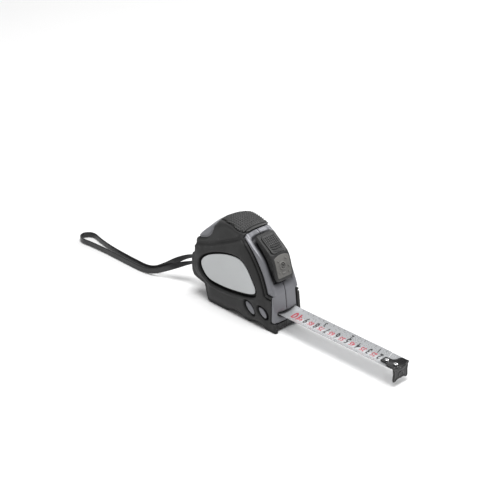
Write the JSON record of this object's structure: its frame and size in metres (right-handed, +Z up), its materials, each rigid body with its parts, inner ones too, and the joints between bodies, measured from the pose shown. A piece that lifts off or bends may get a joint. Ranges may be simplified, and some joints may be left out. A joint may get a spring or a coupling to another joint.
{
  "type": "tape measure",
  "caption": "Pocket tape measure with a curved steel blade partly pulled out, end hook, sliding lock button, rubber jacketed case, belt clip and wrist strap.",
  "frame": {"origin": "on the sole of the rear foot, on the case's mid-plane", "axes": "+X the way the blade comes out, +Z up, -Y the label side, +Y the belt clip side"},
  "size_m": [0.3275, 0.0468, 0.0729],
  "materials": {
    "rubber": "matte black moulded rubber",
    "grip": "ribbed black rubber",
    "shell": "satin grey moulded plastic",
    "label": "light grey satin plate",
    "cover": "black moulded plastic",
    "button": "black textured plastic",
    "black_steel": "black coated steel",
    "steel": "bright steel",
    "tape": "silver white lacquered steel",
    "reel_plastic": "natural plastic",
    "strap": "black coated flat cord"
  },
  "bodies": {
    "case": {"right_case_shell": "shell", "left_case_shell": "shell", "right_rubber_jacket": "rubber", "left_rubber_jacket": "rubber", "grip_pad": "grip", "label_plate": "label", "round_cover": "cover", "clip_root": "black_steel", "clip_screw": "steel", "case_screw_front": "steel", "case_screw_top": "steel", "case_screw_rear": "steel", "lock_spring": "steel", "mouth_bumper": "grip", "blade": "tape", "centre_post": "steel", "strap_pin": "steel", "wrist_strap": "strap"},
    "reel": {"reel": "reel_plastic", "reel_cover": "reel_plastic", "power_spring": "steel", "blade_coil": "tape"},
    "blade_end": {"blade_tip": "tape", "hook_rivet_inner": "steel", "hook_rivet_outer": "steel"},
    "hook": {"end_hook": "black_steel"},
    "lock": {"lock_button": "button", "button_pad": "grip"},
    "brake": {"brake_shoe": "reel_plastic"},
    "clip": {"belt_clip": "black_steel"}
  },
  "joints": [
    {"name": "drum_turn", "type": "hinge", "parent": "case", "child": "reel", "pos_m": [0.015, 0, 0.0364], "axis": [0, 1, 0], "range_deg": [0, 266], "deforming": ["power_spring", "blade"]},
    {"name": "blade_slide", "type": "slide", "parent": "case", "child": "blade_end", "axis": [1, 0, 0], "range_m": [-0.1054, 0]},
    {"name": "hook_float", "type": "slide", "parent": "blade_end", "child": "hook", "axis": [1, 0, 0], "range_m": [-0.001, 0]},
    {"name": "lock_slide", "type": "slide", "parent": "case", "child": "lock", "axis": [-0.576, 0, 0.8175], "range_m": [0, 0.0035]},
    {"name": "brake_lift", "type": "slide", "parent": "case", "child": "brake", "axis": [0, 0, 1], "range_m": [0, 0.0012]},
    {"name": "clip_flex", "type": "hinge", "parent": "case", "child": "clip", "pos_m": [0.01215, 0.0202, 0.049], "axis": [1, 0, 0], "range_deg": [0, 6], "stiffness_Nm_per_rad": 0.5}
  ],
  "couplings": [
    {"joint": "blade_slide", "follows": "drum_turn", "m_per_rad": -0.0227},
    {"joint": "brake_lift", "follows": "lock_slide", "ratio": 0.3}
  ]
}
